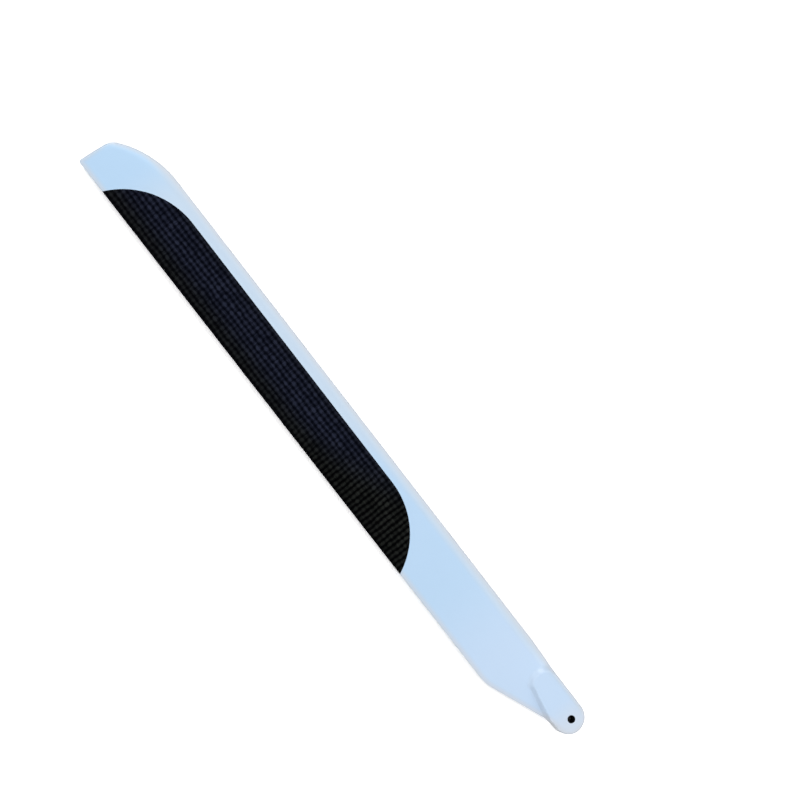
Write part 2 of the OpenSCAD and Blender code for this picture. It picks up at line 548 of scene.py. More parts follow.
@dataclass(frozen=True)
class CarbonWindow:
    """Field of bare carbon along the trailing edge, with a straight inner edge and an arc at each end. Millimetres."""

    inner_y: float = -1.81
    inner_slope: float = -0.00265
    root_arc_x: float = 154.56
    root_arc_radius: float = 43.4
    tip_arc_x: float = 320.4
    tip_arc_radius: float = 44.2
    guard: float = 3.0
    halvings: int = 24

    def inner_edge(self, x: float) -> float:
        """Place of the straight inner edge."""
        return self.inner_y + self.inner_slope * x

    def distance(self, x: float, y: float) -> float:
        """Measures how far a point lies from the window's outline.

        Args:
            x: Place along the span.
            y: Place along the chord.

        Returns:
            Distance outside the window, or inside it when negative.
        """
        for side, arc_x, radius in (
            (-1, self.root_arc_x, self.root_arc_radius),
            (1, self.tip_arc_x, self.tip_arc_radius),
        ):
            if side * (x - arc_x) > 0:
                return math.hypot(x - arc_x, y - self.inner_edge(arc_x) - radius) - radius
        return self.inner_edge(x) - y

    def cut(self, bm: bmesh.types.BMesh, carried: Sequence[bmesh.types.BMLayerItem]) -> int:
        """Cuts the mesh along the window's outline.

        Args:
            bm: Mesh of the skin, in millimetres.
            carried: Layers of point values to carry over to the new points.

        Returns:
            How many points the outline has.
        """
        low = self.root_arc_x - self.root_arc_radius - self.guard
        high = self.tip_arc_x + self.tip_arc_radius + self.guard
        near = {v: self.distance(v.co.x, v.co.y) for v in bm.verts if low < v.co.x < high}
        crossing = [
            e for e in bm.edges if all(v in near for v in e.verts) and near[e.verts[0]] * near[e.verts[1]] < 0
        ]
        # A dictionary keeps its order and a set of mesh items does not, so every run makes the same faces in turn.
        fresh: dict[bmesh.types.BMVert, None] = {}
        for edge in crossing:
            a, b = edge.verts
            share = self._crossing_share(a.co, b.co, near[a] < 0)
            values = [mix(a[layer], b[layer], share) for layer in carried]
            _, made = bmesh.utils.edge_split(edge, a, share)
            for layer, value in zip(carried, values):
                made[layer] = value
            fresh[made] = None
        for face in dict.fromkeys(f for v in fresh for f in v.link_faces):
            ends = [v for v in face.verts if v in fresh]
            if len(ends) == 2:
                bmesh.utils.face_split(face, ends[0], ends[1])
        return len(fresh)

    def _crossing_share(self, a: Vector, b: Vector, inside_first: bool) -> float:
        """Halves its way to the place where an edge crosses the outline.

        Args:
            a: First end of the edge.
            b: Second end of the edge.
            inside_first: Whether the first end lies in the window.

        Returns:
            Share of the edge, from its first end.
        """
        low, high = 0.0, 1.0
        for _ in range(self.halvings):
            middle = (low + high) / 2
            p = a.lerp(b, middle)
            if (self.distance(p.x, p.y) < 0) == inside_first:
                low = middle
            else:
                high = middle
        return (low + high) / 2


@dataclass(frozen=True)
class BoltHole:
    """Drilled hole through the pad, with a small chamfer at both ends. Millimetres."""

    diameter: float = 4.0
    chamfer: float = 0.12
    block_half: float = 3.1
    wall_steps: int = 6

    @property
    def radius(self) -> float:
        """Radius of the drilled wall."""
        return self.diameter / 2

    def drill(
        self,
        bm: bmesh.types.BMesh,
        loops: tuple[list[bmesh.types.BMVert], list[bmesh.types.BMVert]],
        carried: Sequence[bmesh.types.BMLayerItem],
    ) -> None:
        """Joins the openings left in both faces of the pad by a round wall.

        Args:
            bm: Mesh of the skin, in millimetres.
            loops: Points round the opening in the upper and in the lower face, matched and clockwise from above.
            carried: Layers of point values to carry over to the rims, of which the first two are lengths of the map.
        """
        upper, lower = loops
        angles = [math.atan2(v.co.y, v.co.x) for v in upper]
        half = upper[0].co.z
        wall_top = half - self.chamfer
        levels = [(self.radius + self.chamfer, half)]
        levels += [(self.radius, mix(wall_top, -wall_top, k / self.wall_steps)) for k in range(self.wall_steps + 1)]
        levels += [(self.radius + self.chamfer, -half)]
        rings = [[bm.verts.new((r * math.cos(a), r * math.sin(a), z)) for a in angles] for r, z in levels]
        for rim, outer in ((rings[0], upper), (rings[-1], lower)):
            for own, other in zip(rim, outer):
                own[carried[0]] = other[carried[0]] + own.co.x - other.co.x
                own[carried[1]] = other[carried[1]] + own.co.y - other.co.y
        count = len(angles)
        for n in range(count):
            m = (n + 1) % count
            bm.faces.new((upper[m], upper[n], rings[0][n], rings[0][m]))
            bm.faces.new((lower[n], lower[m], rings[-1][m], rings[-1][n]))
            for a, b in zip(rings, rings[1:]):
                bm.faces.new((a[m], a[n], b[n], b[m])).material_index = Zone.BORE


@dataclass(frozen=True)
class BakeLayout:
    """Rows of the map that the finishes are baked to: two lengths of each side, then the small faces. Millimetres."""

    length: float = 202.0
    row: float = 40.0
    margin: float = 1.5
    small_row: int = 4
    hole_place: float = 4.0
    cap_place: float = 30.0
    cap_rise: float = 1.0

    def skin(self, u: float, v: float, start: float, row: int) -> tuple[float, float]:
        """Places a point of the skin.

        Args:
            u: Length along the span.
            v: Length round the section, from the leading edge.
            start: Length along the span at which its row starts.
            row: Number of its row.

        Returns:
            Place in the map, from 0 to 1.
        """
        return (u - start + self.margin) / self.length, (row * self.row + v + self.margin) / self.length

    def small(self, place: float, u: float, v: float) -> tuple[float, float]:
        """Places a point of the hole's wall or of the tip's end in the last row."""
        return (place + u) / self.length, (self.small_row * self.row + self.margin + v) / self.length


class NodeGraph:
    """Short ways to add and join the nodes of a material, world or node group.

    A Mix node has inputs for every kind of value, so those of its share and of its two colours or numbers are named.
    """

    COLOUR_MIX = (0, 6, 7)
    NUMBER_MIX = (0, 2, 3)

    def __init__(self, tree: bpy.types.NodeTree) -> None:
        """Takes the tree that the nodes go to."""
        self.tree = tree

    def add(self, kind: str, **settings: object) -> bpy.types.Node:
        """Adds a node.

        Args:
            kind: Name of the node's type.
            **settings: Properties of the node to set.

        Returns:
            The new node.
        """
        node = self.tree.nodes.new(kind)
        for name, value in settings.items():
            setattr(node, name, value)
        return node

    def feed(self, socket: bpy.types.NodeSocket, value: object) -> None:
        """Joins a socket to another, or sets it to a plain value.

        Args:
            socket: Socket to feed.
            value: Other socket, or plain value.
        """
        if isinstance(value, bpy.types.NodeSocket):
            self.tree.links.new(value, socket)
        else:
            socket.default_value = value

    def feed_all(self, node: bpy.types.Node, pairs: Iterable[tuple[int | str, object]]) -> bpy.types.Node:
        """Joins or sets several inputs of a node.

        Args:
            node: Node to feed.
            pairs: Number or name of each input, with the socket or plain value that it takes.

        Returns:
            The same node.
        """
        for key, value in pairs:
            self.feed(node.inputs[key], value)
        return node

    def place(self) -> bpy.types.NodeSocket:
        """Gives the coordinates on the blade, in metres from the bolt axis."""
        return self.add("ShaderNodeTexCoord").outputs["Object"]

    def carried(self, value: SkinField) -> bpy.types.NodeSocket:
        """Reads a value that the skin's points carry."""
        return self.add("ShaderNodeAttribute", attribute_name=value.value).outputs["Fac"]

    def axes(self, vector: bpy.types.NodeSocket) -> tuple[bpy.types.NodeSocket, ...]:
        """Splits coordinates into X, Y and Z."""
        return tuple(self.feed_all(self.add("ShaderNodeSeparateXYZ"), [(0, vector)]).outputs)

    def math(self, operation: str, *values: object, clamp: bool = False) -> bpy.types.NodeSocket:
        """Adds a sum on numbers.

        Args:
            operation: Name of the sum.
            *values: Sockets or plain numbers to take.
            clamp: Whether the result stays from 0 to 1.

        Returns:
            Socket of the result.
        """
        node = self.add("ShaderNodeMath", operation=operation, use_clamp=clamp)
        return self.feed_all(node, enumerate(values)).outputs[0]

    def vector(self, operation: str, *values: object) -> bpy.types.Node:
        """Adds a sum on vectors.

        Args:
            operation: Name of the sum.
            *values: Sockets or plain vectors to take.

        Returns:
            The sum's node.
        """
        return self.feed_all(self.add("ShaderNodeVectorMath", operation=operation), enumerate(values))

    def ramp(self, value: object, low: object, high: object, start: object, end: object) -> bpy.types.NodeSocket:
        """Maps a number from one span to another with level ends.

        Args:
            value: Number to map.
            low: Where the first span starts.
            high: Where the first span ends.
            start: Result at the first span's start.
            end: Result at the first span's end.

        Returns:
            Socket of the result.
        """
        node = self.add("ShaderNodeMapRange", interpolation_type="SMOOTHSTEP")
        return self.feed_all(node, enumerate((value, low, high, start, end))).outputs[0]

    def blend(self, share: object, first: object, second: object, how: str = "MIX") -> bpy.types.NodeSocket:
        """Blends two colours.

        Args:
            share: How much of the second colour to take.
            first: First colour.
            second: Second colour.
            how: Name of the way of blending.

        Returns:
            Socket of the blended colour.
        """
        node = self.add("ShaderNodeMix", data_type="RGBA", blend_type=how)
        return self.feed_all(node, zip(self.COLOUR_MIX, (share, first, second))).outputs[2]

    def between(self, share: object, first: object, second: object) -> bpy.types.NodeSocket:
        """Goes from one number to another.

        Args:
            share: How much of the second number to take.
            first: First number.
            second: Second number.

        Returns:
            Socket of the number between them.
        """
        node = self.add("ShaderNodeMix", data_type="FLOAT")
        return self.feed_all(node, zip(self.NUMBER_MIX, (share, first, second))).outputs[0]

    def noise(self, vector: object, scale: object, detail: float = 2.0, roughness: float = 0.5) -> bpy.types.NodeSocket:
        """Adds a cloudy pattern.

        Args:
            vector: Coordinates to read it at.
            scale: How many clouds there are to a metre.
            detail: How many finer layers it has.
            roughness: How strong the finer layers are.

        Returns:
            Socket of the pattern's value.
        """
        values = {"Vector": vector, "Scale": scale, "Detail": detail, "Roughness": roughness}
        return self.feed_all(self.add("ShaderNodeTexNoise"), values.items()).outputs["Fac"]

    def group(self, made: bpy.types.NodeTree, **values: object) -> bpy.types.NodeSocket:
        """Places a node group.

        Args:
            made: Group to place.
            **values: Sockets or plain values for its inputs, by name.

        Returns:
            Socket of the group's result.
        """
        return self.feed_all(self.add("ShaderNodeGroup", node_tree=made), values.items()).outputs[0]

    def bump(
        self, shader: bpy.types.Node, height: bpy.types.NodeSocket, strength: float = 1.0, distance: float = 1.0
    ) -> None:
        """Gives a surface its fine relief.

        Args:
            shader: Shader of the surface.
            height: Height of the relief.
            strength: How strongly it shows.
            distance: Metres to one unit of height.
        """
        values = {"Strength": strength, "Distance": distance, "Height": height}
        node = self.feed_all(self.add("ShaderNodeBump"), values.items())
        self.feed(shader.inputs["Normal"], node.outputs[0])


class GroupMaker:
    """Starts a shader node group with named number inputs and one number output, and gives its graph."""

    def __init__(self, name: str, inputs: dict[str, float], output: str) -> None:
        """Makes the group.

        Args:
            name: Name of the group.
            inputs: Its inputs with their usual values.
            output: Name of its output.
        """
        self.tree = bpy.data.node_groups.new(name, "ShaderNodeTree")
        for key, value in inputs.items():
            socket = self.tree.interface.new_socket(name=key, in_out="INPUT", socket_type="NodeSocketFloat")
            socket.default_value = value
        self.tree.interface.new_socket(name=output, in_out="OUTPUT", socket_type="NodeSocketFloat")
        self.graph = NodeGraph(self.tree)
        self.given = self.graph.add("NodeGroupInput").outputs
        self.result = self.graph.add("NodeGroupOutput").inputs[output]

    def finish(self, value: bpy.types.NodeSocket) -> bpy.types.NodeTree:
        """Joins a value to the group's output and gives the group."""
        self.graph.feed(self.result, value)
        return self.tree


class Effects:
    """Node groups that the blade's finishes share, each built once."""

    def __init__(self) -> None:
        """Builds all the groups."""
        self.span_share = self._span_share()
        self.edge_share = self._edge_share()
        self.coat_ripple = self._coat_ripple()
        self.haze = self._haze()

    @staticmethod
    def _span_share() -> bpy.types.NodeTree:
        """Gives how far along a stretch of the span a point lies, from 0 to 1; with slant, points aft lag behind.

        Returns:
            The group.
        """
        made = GroupMaker("span_share", {"Start": 0.0, "End": 0.38, "Slant": 0.0}, "Share")
        graph = made.graph
        x, y, _ = graph.axes(graph.place())
        along = graph.math("SUBTRACT", x, graph.math("MULTIPLY", y, made.given["Slant"]))
        return made.finish(graph.ramp(along, made.given["Start"], made.given["End"], 0.0, 1.0))

    @staticmethod
    def _edge_share() -> bpy.types.NodeTree:
        """Gives 1 at the outline of the blade and 0 from a width inside it.

        Returns:
            The group.
        """
        made = GroupMaker("edge_share", {"Width": 1.0}, "Share")
        inside = made.graph.carried(SkinField.EDGE)
        return made.finish(made.graph.ramp(inside, 0.0, made.given["Width"], 1.0, 0.0))

    @staticmethod
    def _coat_ripple() -> bpy.types.NodeTree:
        """Gives the height of the faint ripple that sprayed lacquer keeps when it dries.

        Returns:
            The group.
        """
        made = GroupMaker("coat_ripple", {"Scale": 420.0, "Step": 3.7, "Fine": 0.25}, "Height")
        graph, place = made.graph, made.graph.place()
        coarse = graph.noise(place, made.given["Scale"], detail=1.0)
        fine = graph.noise(place, graph.math("MULTIPLY", made.given["Scale"], made.given["Step"]))
        return made.finish(graph.math("ADD", coarse, graph.math("MULTIPLY", fine, made.given["Fine"])))

    @staticmethod
    def _haze() -> bpy.types.NodeTree:
        """Gives a cloudy value that shifts a plain level a little, as polishing leaves it.

        Returns:
            The group.
        """
        made = GroupMaker("polish_haze", {"Scale": 60.0, "Level": 0.3, "Spread": 0.05}, "Value")
        graph = made.graph
        cloud = graph.noise(graph.place(), made.given["Scale"], detail=4.0, roughness=0.6)
        shift = graph.math("MULTIPLY", graph.math("SUBTRACT", cloud, NOISE_MIDDLE), made.given["Spread"])
        return made.finish(graph.math("ADD", made.given["Level"], shift))


@dataclass(frozen=True)
class Finish(ABC):
    """What every finish of the blade has: a name, and a roughness that polishing has left a little cloudy."""

    name: str
    roughness: float
    haze_scale: float
    haze_spread: float

    def material(self, effects: Effects) -> bpy.types.Material:
        """Builds the material.

        Args:
            effects: Node groups that the finishes share.

        Returns:
            The finished material.
        """
        material = bpy.data.materials.new(self.name)
        material.use_nodes = True
        graph = NodeGraph(material.node_tree)
        shader = material.node_tree.nodes["Principled BSDF"]
        haze = graph.group(effects.haze, Scale=self.haze_scale, Level=self.roughness, Spread=self.haze_spread)
        graph.feed(shader.inputs["Roughness"], haze)
        self.dress(graph, shader, effects)
        return material

    @abstractmethod
    def dress(self, graph: NodeGraph, shader: bpy.types.Node, effects: Effects) -> None:
        """Adds what the finish has of its own.

        Args:
            graph: Graph of the material.
            shader: Shader of the surface.
            effects: Node groups that the finishes share.
        """


@dataclass(frozen=True)
class GlossPaint(Finish):
    """Pale blue-white paint under clear lacquer, a little bluer towards the tip and greyer along its edges, with
    painted shade over the front of the section.

    A stretch, in metres from the bolt axis, is where one tone goes over into the next along the span.
    """

    name: str = "gloss_paint"
    roughness: float = 0.35
    haze_scale: float = 90.0
    haze_spread: float = 0.08
    root_tone: Colour = srgb(210, 222, 237)
    tongue_tone: Colour = srgb(200, 222, 247)
    tongue_stretch: Pair = (-0.004, 0.012)
    inner_tone: Colour = srgb(190, 218, 245)
    inner_stretch: Pair = (0.045, 0.100)
    strip_tone: Colour = srgb(202, 221, 240)
    strip_stretch: Pair = (0.150, 0.200)
    tip_tone: Colour = srgb(187, 217, 245)
    tip_stretch: Pair = (0.330, 0.362)
    edge_tone: Colour = srgb(207, 212, 220)
    edge_width_mm: float = 3.6
    edge_amount: float = 0.75
    # Painted shade: the paint is drawn darker and greyer-blue over the front of the section, towards the leading edge.
    leading_shade_tone: Colour = srgb(194, 212, 230)
    leading_shade_span: Pair = (-0.0077, -0.0033)
    leading_shade_stretch: Pair = (0.015, 0.045)
    leading_shade_amount: Pair = (0.3, 1.0)
    mottle: float = 0.03
    mottle_scale: float = 45.0
    specular: float = 0.1
    coat_weight: float = 1.0
    coat_roughness: float = 0.04
    ripple_depth: float = 0.00002
    film_mm: float = 0.12
    film_height: float = 0.00005

    def tone(self, graph: NodeGraph, effects: Effects) -> bpy.types.NodeSocket:
        """Mixes the paint's colour from its tones, with painted shade over the front of the section.

        Args:
            graph: Graph of the material.
            effects: Node groups that the finishes share.

        Returns:
            Socket of the colour.
        """
        tone: object = self.root_tone
        for (start, end), colour in (
            (self.tongue_stretch, self.tongue_tone),
            (self.inner_stretch, self.inner_tone),
            (self.strip_stretch, self.strip_tone),
            (self.tip_stretch, self.tip_tone),
        ):
            tone = graph.blend(graph.group(effects.span_share, Start=start, End=end), tone, colour)
        # Painted shade: darker towards the leading edge over the front of the section, and stronger further out along
        # the span.
        _, aft, _ = graph.axes(graph.place())
        start, end = self.leading_shade_stretch
        amount = graph.between(graph.group(effects.span_share, Start=start, End=end), *self.leading_shade_amount)
        tone = graph.blend(graph.ramp(aft, *self.leading_shade_span, amount, 0.0), tone, self.leading_shade_tone)
        edge = graph.group(effects.edge_share, Width=self.edge_width_mm)
        tone = graph.blend(graph.math("MULTIPLY", edge, self.edge_amount), tone, self.edge_tone)
        cloud = graph.group(effects.haze, Scale=self.mottle_scale, Level=1.0, Spread=self.mottle)
        shade = graph.feed_all(graph.add("ShaderNodeCombineColor"), enumerate((cloud,) * 3))
        return graph.blend(1.0, tone, shade.outputs[0], "MULTIPLY")

    def dress(self, graph: NodeGraph, shader: bpy.types.Node, effects: Effects) -> None:
        """Adds the colour, the lacquer with its ripple, and the film's step along the window.

        Args:
            graph: Graph of the material.
            shader: Shader of the surface.
            effects: Node groups that the finishes share.
        """
        inputs = {
            "Base Color": self.tone(graph, effects),
            "Specular IOR Level": self.specular,
            "Coat Weight": self.coat_weight,
            "Coat Roughness": self.coat_roughness,
        }
        graph.feed_all(shader, inputs.items())
        ripple = graph.math("MULTIPLY", graph.group(effects.coat_ripple), self.ripple_depth)
        film = graph.ramp(graph.carried(SkinField.WINDOW), 0.0, self.film_mm, 0.0, self.film_height)
        graph.bump(shader, graph.math("ADD", ripple, film))


@dataclass(frozen=True)
class CarbonWeave(Finish):
    """Bare plain-woven carbon under clear lacquer, with wide tows along the span and the chord.

    Columns and rows each have one depth of painted shade away from their crowns at the window's root end and one
    further out.
    """

    name: str = "carbon_weave"
    roughness: float = 0.4
    haze_scale: float = 120.0
    haze_spread: float = 0.1
    tow_mm: float = 2.8
    root_gap: Colour = srgb(1, 1, 2)
    span_gap: Colour = srgb(2, 3, 10)
    root_tone: Colour = srgb(37, 39, 37)
    span_tone: Colour = srgb(38, 42, 58)
    root_start: float = 0.130
    root_end: float = 0.180
    root_slant: float = 2.2
    # Painted shade: how much darker the tows are drawn away from their crowns, and in the corners between them.
    column_shade_depth: Pair = (0.95, 0.45)
    row_shade_depth: Pair = (0.4, 0.8)
    corner_shade_depth: float = 0.7
    crown_power: float = 2.0
    # Painted sheen: span tows are drawn lighter than chord tows.
    span_tow_sheen: float = 1.0
    chord_tow_sheen: float = 0.85
    tow_spread: float = 0.35
    spot_spread: float = 0.3
    fibre_along: float = 90.0
    fibre_across: float = 2600.0
    fibre_span: Pair = (0.3, 0.7)
    fibre_spread: float = 1.0
    cloud_scale: float = 140.0
    cloud_spread: float = 1.1
    wander_mm: float = 0.8
    wander_scale: float = 130.0
    wander_detail: float = 3.0
    specular: float = 0.0
    coat_roughness: float = 0.04
    coat_depth: Pair = (0.2, 0.6)
    coat_power: float = 0.3
    chord_coat: float = 0.8
    relief: float = 0.00005
    ripple_depth: float = 0.00001
    edge_width_mm: float = 1.6
    edge_amount: float = 0.8
    rear_width_mm: float = 15.0
    rear_amount: float = 0.34
    rear_blue: float = 0.15

    def weave(
        self, graph: NodeGraph, outward: bpy.types.NodeSocket
    ) -> tuple[bpy.types.NodeSocket, bpy.types.NodeSocket, bpy.types.NodeSocket]:
        """Draws the weave, with painted shade away from the tows' crowns and painted sheen that sets span tows apart
        from chord tows.

        Args:
            graph: Graph of the material.
            outward: 0 at the window's root end, where columns show most, and 1 further out, where rows do.

        Returns:
            Sockets of the tows' brightness with its painted shade and sheen, of their height and of the weight of the
            lacquer on them.
        """
        place = self._wandering(graph)
        crowns, numbers = [], []
        for axis in graph.axes(place)[:2]:
            tows = graph.math("DIVIDE", axis, self.tow_mm * MM)
            numbers.append(graph.math("FLOOR", tows))
            crown = graph.math("SINE", graph.math("MULTIPLY", graph.math("FRACT", tows), math.pi))
            crowns.append(graph.math("POWER", crown, self.crown_power))
        height = graph.math("MULTIPLY", *crowns)
        # Painted shade: the tows are drawn lighter on their crowns and darker towards their edges, darkest in the
        # corners between them.
        low = [graph.math("SUBTRACT", 1.0, crown) for crown in crowns]
        lit = graph.math("SUBTRACT", 1.0, graph.math("MULTIPLY", graph.math("MULTIPLY", *low), self.corner_shade_depth))
        for crown, depth in zip(crowns, (self.column_shade_depth, self.row_shade_depth)):
            lit = graph.math("MULTIPLY", lit, graph.between(graph.between(outward, *depth), 1.0, crown))
        checker = graph.math("ABSOLUTE", graph.math("MODULO", graph.math("ADD", *numbers), 2.0))
        span_fibres = (self.fibre_along, self.fibre_across, 0.0)
        chord_fibres = (self.fibre_across, self.fibre_along, 0.0)
        # Painted sheen: span tows and chord tows each get their own level of brightness.
        span_tow = self._tow(graph, numbers[1], place, span_fibres, self.span_tow_sheen)
        chord_tow = self._tow(graph, numbers[0], place, chord_fibres, self.chord_tow_sheen)
        cell = graph.feed_all(graph.add("ShaderNodeCombineXYZ"), enumerate(numbers)).outputs[0]
        random = graph.add("ShaderNodeTexWhiteNoise", noise_dimensions="2D")
        graph.feed(random.inputs["Vector"], cell)
        half = self.spot_spread / 2
        spot = graph.ramp(random.outputs["Value"], 0.0, 1.0, 1 - half, 1 + half)
        tow = graph.math("MULTIPLY", graph.between(checker, span_tow, chord_tow), spot)
        coat = graph.between(graph.math("POWER", height, self.coat_power), *self.coat_depth)
        coat = graph.math("MULTIPLY", coat, graph.between(checker, 1.0, self.chord_coat))
        return graph.math("MULTIPLY", lit, tow), height, coat

    def _wandering(self, graph: NodeGraph) -> bpy.types.NodeSocket:
        """Gives coordinates on the blade that wander a little, as tows laid by hand do.

        Args:
            graph: Graph of the material.

        Returns:
            Socket of the coordinates.
        """
        place = graph.place()
        values = {"Vector": place, "Scale": self.wander_scale, "Detail": self.wander_detail}
        wander = graph.feed_all(graph.add("ShaderNodeTexNoise"), values.items()).outputs["Color"]
        centred = graph.vector("SUBTRACT", wander, (NOISE_MIDDLE,) * 3).outputs[0]
        return graph.vector("MULTIPLY_ADD", centred, (2 * self.wander_mm * MM,) * 3, place).outputs[0]

    def _tow(
        self,
        graph: NodeGraph,
        number: bpy.types.NodeSocket,
        place: bpy.types.NodeSocket,
        fibres: tuple[float, float, float],
        level: float,
    ) -> bpy.types.NodeSocket:
        """Gives the tows of one direction their own brightness, with its painted sheen, and fine fibres.

        Args:
            graph: Graph of the material.
            number: Number of the tow.
            place: Coordinates on the blade.
            fibres: How many fibres there are to a metre on each axis.
            level: Mean brightness, with the painted sheen of the tows' direction.

        Returns:
            Socket of the brightness.
        """
        random = graph.add("ShaderNodeTexWhiteNoise", noise_dimensions="1D")
        graph.feed(random.inputs["W"], number)
        half = self.tow_spread / 2
        own = graph.ramp(random.outputs["Value"], 0.0, 1.0, level * (1 - half), level * (1 + half))
        fibre = graph.noise(graph.vector("MULTIPLY", place, fibres).outputs[0], 1.0)
        half = self.fibre_spread / 2
        return graph.math("MULTIPLY", own, graph.ramp(fibre, *self.fibre_span, 1 - half, 1 + half))

    def dress(self, graph: NodeGraph, shader: bpy.types.Node, effects: Effects) -> None:
        """Adds the weave, its darker edges and the lacquer on it.

        Args:
            graph: Graph of the material.
            shader: Shader of the surface.
            effects: Node groups that the finishes share.
        """
        outward = graph.group(effects.span_share, Start=self.root_start, End=self.root_end, Slant=self.root_slant)
        brightness, height, coat = self.weave(graph, outward)
        cloud = graph.group(effects.haze, Scale=self.cloud_scale, Level=1.0, Spread=self.cloud_spread)
        brightness = graph.math("MULTIPLY", brightness, cloud, clamp=True)
        rear = graph.group(effects.edge_share, Width=self.rear_width_mm)
        edge = graph.group(effects.edge_share, Width=self.edge_width_mm)
        blue = graph.math("MULTIPLY", outward, graph.ramp(rear, 0.0, 1.0, 1.0, self.rear_blue))
        gap = graph.blend(blue, self.root_gap, self.span_gap)
        # The tows' painted shade and sheen run from the gap colour up to the tow colour.
        tone = graph.blend(brightness, gap, graph.blend(blue, self.root_tone, self.span_tone))
        for share, amount in ((rear, self.rear_amount), (edge, self.edge_amount)):
            tone = graph.blend(graph.math("MULTIPLY", share, amount), tone, gap)
        inputs = {
            "Base Color": tone,
            "Specular IOR Level": self.specular,
            "Coat Weight": coat,
            "Coat Roughness": self.coat_roughness,
        }
        graph.feed_all(shader, inputs.items())
        raised = graph.math("MULTIPLY", height, self.relief)
        ripple = graph.math("MULTIPLY", graph.group(effects.coat_ripple), self.ripple_depth)
        graph.bump(shader, graph.math("ADD", raised, ripple))


@dataclass(frozen=True)
class DrilledLaminate(Finish):
    """Dark laminate where the bolt hole is drilled through it, with its plies showing as rings."""

    name: str = "drilled_laminate"
    roughness: float = 0.6
    haze_scale: float = 900.0
    haze_spread: float = 0.3
    dark: Colour = srgb(9, 10, 17)
    light: Colour = srgb(27, 28, 36)
    ply_mm: float = 0.25
    cut_scale: float = 2500.0
    cut_detail: float = 3.0
    relief_strength: float = 0.4
    relief: float = 0.00003

    def dress(self, graph: NodeGraph, shader: bpy.types.Node, effects: Effects) -> None:
        """Adds the rings of the plies.

        Args:
            graph: Graph of the material.
            shader: Shader of the surface.
            effects: Node groups that the finishes share; not used here.
        """
        place = graph.place()
        *_, up = graph.axes(place)
        turns = graph.math("MULTIPLY", up, 2 * math.pi / (self.ply_mm * MM))
        ply = graph.ramp(graph.math("SINE", turns), -1.0, 1.0, 0.0, 1.0)
        cut = graph.noise(place, self.cut_scale, self.cut_detail)
        tone = graph.blend(graph.math("MULTIPLY", ply, cut), self.dark, self.light)
        graph.feed(shader.inputs["Base Color"], tone)
        graph.bump(shader, graph.math("ADD", ply, cut), self.relief_strength, self.relief)


